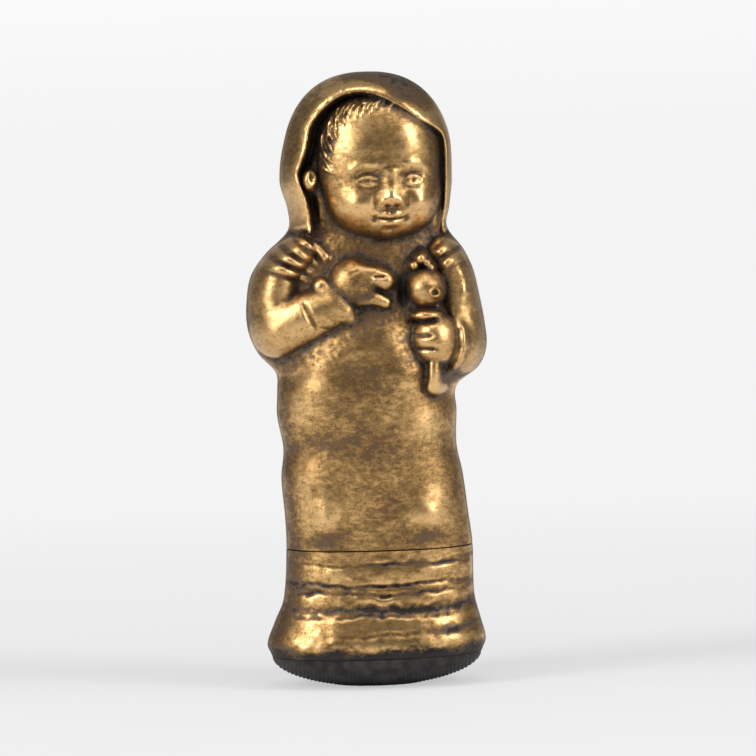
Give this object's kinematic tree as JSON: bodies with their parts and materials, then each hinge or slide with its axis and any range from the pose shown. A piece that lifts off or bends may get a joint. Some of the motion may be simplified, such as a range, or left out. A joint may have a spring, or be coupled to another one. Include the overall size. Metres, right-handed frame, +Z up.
{
  "type": "vesta case",
  "caption": "Brass pocket match case shaped as a hooded child with a rattle; the gown's hem is a sprung hinged lid with a ribbed domed striker under it.",
  "frame": {"origin": "centre of the bounding box's bottom, on the worn flat of the striker that the case stands on", "axes": "+Z up along the figure to the hood, -Y the way that the figure looks, +X to the right of someone looking at its face"},
  "size_m": [0.0247, 0.0146, 0.063],
  "materials": {
    "figure_brass": "old cast relief, high spots rubbed bright, brown patina in the hollows",
    "inner_brass": "smooth rolled sheet, lightly tarnished",
    "hinge_brass": "drawn tube, worn, dark in the joints",
    "pin_brass": "drawn wire, hammered ends",
    "spring_steel": "blued strip gone grey",
    "stained_brass": "ribbed, blackened by strikes, bare on the crests"
  },
  "bodies": {
    "case": {"case_front": "figure_brass", "case_back": "figure_brass", "mouth_collar": "inner_brass", "case_knuckle_left": "hinge_brass", "case_knuckle_right": "hinge_brass", "hinge_pin": "pin_brass", "leaf_spring": "spring_steel", "leaf_rivet": "pin_brass"},
    "lid": {"lid_front": "figure_brass", "lid_back": "figure_brass", "lid_knuckle_left": "hinge_brass", "lid_knuckle_cam": "hinge_brass", "lid_knuckle_right": "hinge_brass", "striker_base": "stained_brass"}
  },
  "joints": [
    {"name": "lid_hinge", "type": "hinge", "parent": "case", "child": "lid", "pos_m": [0, 0.006, 0.01422], "axis": [1, 0, 0], "range_deg": [0, 110], "deforming": ["leaf_spring"]}
  ]
}
